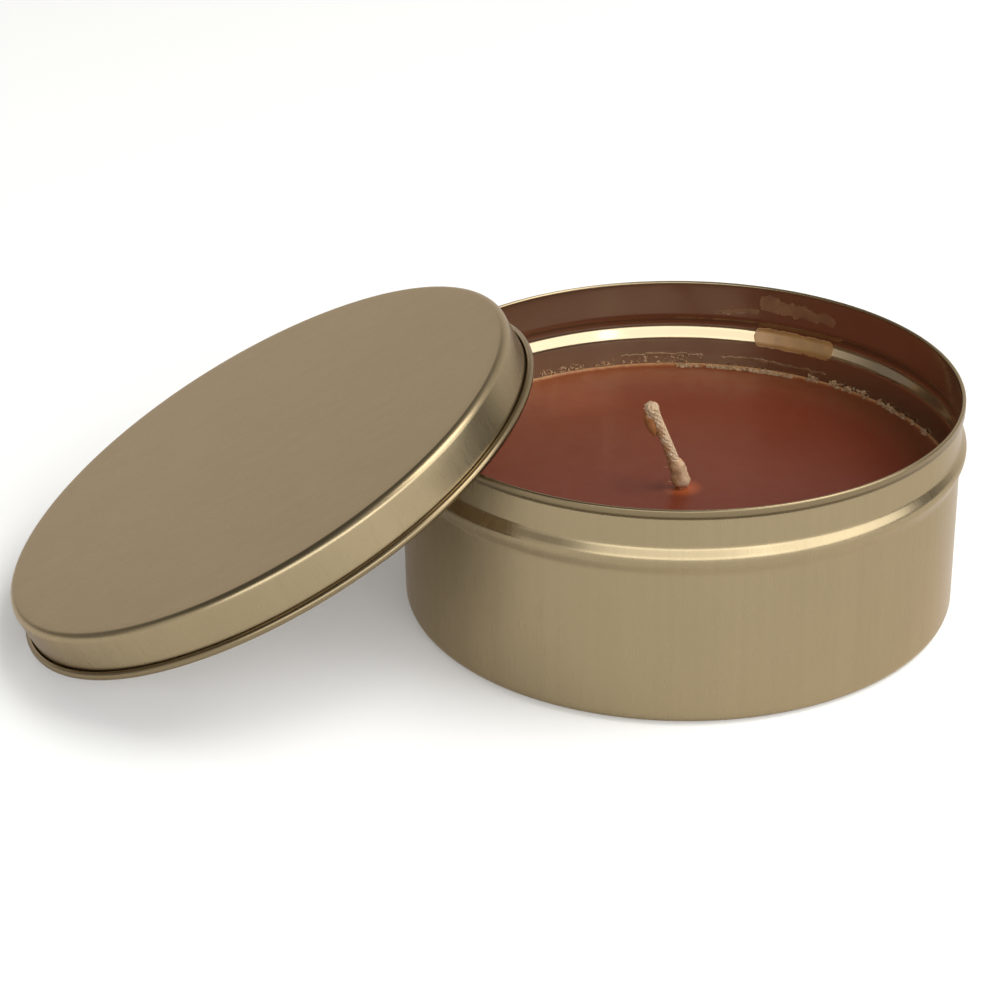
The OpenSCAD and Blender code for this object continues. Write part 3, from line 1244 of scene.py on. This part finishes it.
def crumb_tree():
    """The tree that scatters crumbs along a stretch of the wall."""
    floats = ["From", "To", "Low", "High", "Radius", "Size", "Gaps"]
    n, given = geometry_tree("Crumbs along a wall", "Geometry", Int=["Count", "Seed"], Float=floats)

    def chance(number, low, high):
        return random_value(n, n.plus(given["Seed"], float(number)), low, high)

    span = n.minus(given["To"], given["From"])
    angle = n.plus(given["From"], n.times(span, chance(1, 0.0, 1.0)))
    rise = n.minus(given["High"], given["Low"])
    height = n.plus(given["Low"], n.times(rise, n.math("POWER", chance(2, 0.0, 1.0), 1.6)))
    radians = n.math("RADIANS", angle)
    x = n.times(given["Radius"], n.math("SINE", radians))
    y = n.times(given["Radius"], n.math("COSINE", radians))
    spot = n.xyz(x, y, height)
    points = n.add("Points", given["Count"], spot, 0.1 * MM)
    clump = n.add("TexNoise", None, None, CLUMP_SCALE, 3.0)
    kept = n.add("Compare", clump.outputs[0], given["Gaps"], operation="GREATER_THAN")
    lump = n.add("MeshIcoSphere", given["Size"], 1)
    spin = n.add("RandomValue", data_type="FLOAT_VECTOR")
    n.feed(spin, 1, (6.28, 6.28, 6.28))
    turned = n.add("EulerToRotation", spin.outputs[0])
    laid = n.add("InstanceOnPoints", points, kept, lump)
    n.feed(laid, "Rotation", turned)
    bulk = n.math("POWER", chance(3, 0.35, 1.0), 1.8)
    flat = n.times(bulk, 0.55)
    n.feed(laid, "Scale", n.xyz(bulk, n.times(bulk, 1.3), flat))
    real = n.add("RealizeInstances", laid)
    dent = n.add("TexNoise", None, None, DENT_SCALE, 1.0)
    push = n.vector("SUBTRACT", dent.outputs["Color"], (0.5, 0.5, 0.5))
    push = n.stretched(push, n.times(given["Size"], 1.2))
    rough = n.add("SetPosition", real, None, None, push)
    n.add("NodeGroupOutput", n.add("SetMaterial", rough, None, given["Finish"]))
    return n.tree


CRUMBS = crumb_tree()

# %% Crumb material
CRUMB = (0.35, 0.21, 0.11)


def crumb_material():
    """Dry pale wax."""
    material, n, shader, place = new_material("dry_wax")
    patches = spread(n, noise(n, place, 1300.0, 3.0))
    scatter(n, shader, 0.3, (1.0, 0.5, 0.2), 0.5)
    colour = mixed(n, patches, shade(CRUMB, 0.7), shade(CRUMB, 1.35))
    rough = ranged(n, patches, 0.0, 1.0, 0.4, 0.6)
    paint(n, shader, colour, rough, noise(n, place, 5000.0, 2.0), 0.4, 0.03 * MM)
    return material


dry_wax = crumb_material()

# %% Scatter the crumbs
CRUMB_LINES = {
    "crumbs_left": (-26, 3, 0.8, 1.9, 0.08, 300, 0.21, 0.42, 11),
    "crumbs_middle": (0, 14, 0.5, 2.4, 0.08, 120, 0.18, 0.45, 21),
    "flakes_back": (7, 34, 0.0, 0.35, 0.50, 760, 0.42, 0.44, 31),
    "crumbs_right": (38, 62, 0.2, 1.4, 0.25, 420, 0.36, 0.51, 41),
    "crumbs_far_right": (58, 86, 0.1, 0.9, 0.35, 420, 0.40, 0.52, 51),
    "crumbs_round": (86, 334, 0.1, 0.9, 0.25, 900, 0.26, 0.56, 61),
}


def crumbs(name, start, end, low, high, inset, count, size, gaps, seed):
    """One stretch of crumbs, with its angles in degrees and its sizes in millimetres."""
    values = {
        "From": float(start),
        "To": float(end),
        "Low": WAX_LEVEL + low * MM,
        "High": WAX_LEVEL + high * MM,
        "Radius": inner_r - inset * MM,
        "Count": count,
        "Size": size * MM,
        "Gaps": gaps,
        "Seed": seed,
        "Finish": dry_wax,
    }
    mesh = baked_mesh(bpy.data.meshes.new("start"), CRUMBS, values)
    face_outwards(mesh)
    print(name, len(mesh.polygons) // 20, "crumbs")
    piece(name, mesh, "tin", "wax")


for name, sizes in CRUMB_LINES.items():
    crumbs(name, *sizes)

# %% [markdown]
# ## What the wax hides
#
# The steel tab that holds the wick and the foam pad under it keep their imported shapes,
# and only get better finishes: rolling marks on the steel, and open cells in the foam.

# %% Steel and foam
STEEL_TONES = ((0.42, 0.42, 0.41, 1), (0.60, 0.60, 0.58, 1))
FOAM_TONES = ((0.60, 0.58, 0.53, 1), (0.82, 0.80, 0.75, 1))


def steel_material():
    """Tin-plated steel with fine rolling marks."""
    material, n, shader, place = new_material("tab_steel")
    marks = noise(n, scaled(n, place, (300.0, 6000.0, 6000.0)), 1.0, 3.0, 0.6)
    n.feed(shader, "Metallic", 1.0)
    colour = mixed(n, marks, *STEEL_TONES)
    paint(n, shader, colour, ranged(n, marks, 0.2, 0.8, 0.25, 0.42), marks, 0.3, 0.02 * MM)
    return material


def foam_material():
    """Soft white foam with open cells."""
    material, n, shader, place = new_material("pad_foam")
    cells = n.add("TexVoronoi", place, None, 2600.0).outputs["Distance"]
    colour = mixed(n, ranged(n, cells, 0.1, 0.7), *FOAM_TONES)
    paint(n, shader, colour, ranged(n, cells, 0.0, 0.8, 0.95, 0.75), cells, 0.7, 0.1 * MM)
    return material


def finish_node(name, material):
    """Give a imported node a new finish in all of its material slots."""
    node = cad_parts[name]
    for slot in node.material_slots:
        slot.material = material
    print(name, "has", len(node.material_slots), "slot")


finish_node("wick_tab", steel_material())
finish_node("adhesive_pad", foam_material())
